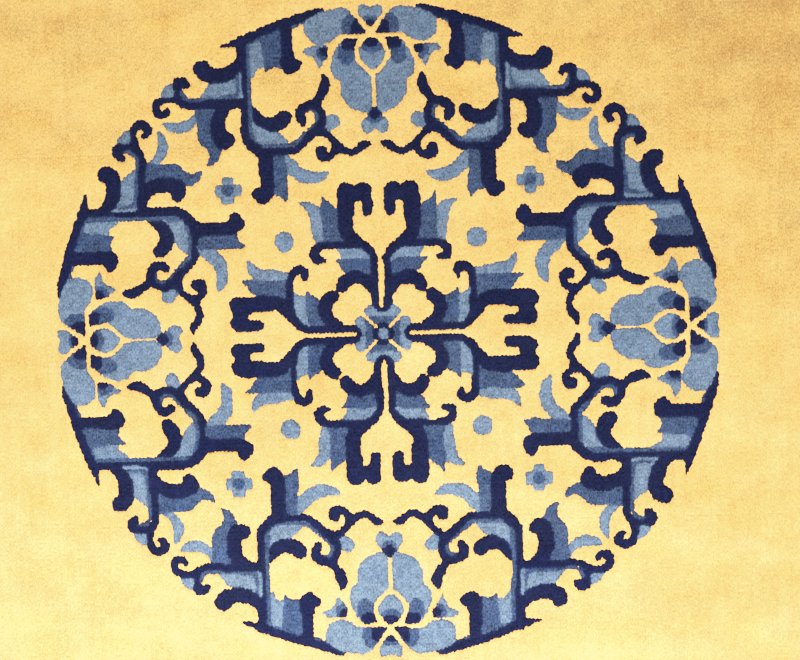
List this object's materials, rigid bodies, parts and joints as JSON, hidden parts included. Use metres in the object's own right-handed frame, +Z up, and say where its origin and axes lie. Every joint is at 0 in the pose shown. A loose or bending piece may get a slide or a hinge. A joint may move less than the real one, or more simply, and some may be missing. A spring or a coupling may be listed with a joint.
{
  "type": "chinese rug",
  "caption": "Flat hand-knotted wool rug: plain gold field, a round medallion of scrolls and flowers in shades of blue, plain overcast edges.",
  "frame": {"origin": "centre of the rug's underside, on the floor it lies on", "axes": "+Z up out of the pile, +Y along the warps, which is the rug's longer side, +X across it"},
  "size_m": [0.8568, 0.9992, 0.011],
  "materials": {
    "gold_wool": "matte cut wool pile, golden yellow",
    "navy_wool": "matte cut wool pile, dark indigo",
    "mid_blue_wool": "matte cut wool pile, middle indigo blue",
    "light_blue_wool": "matte cut wool pile, pale indigo blue",
    "cotton_web": "undyed cotton wefts and warps of the underside"
  },
  "bodies": {
    "root": {"knotted_rug": "gold_wool"}
  },
  "joints": []
}
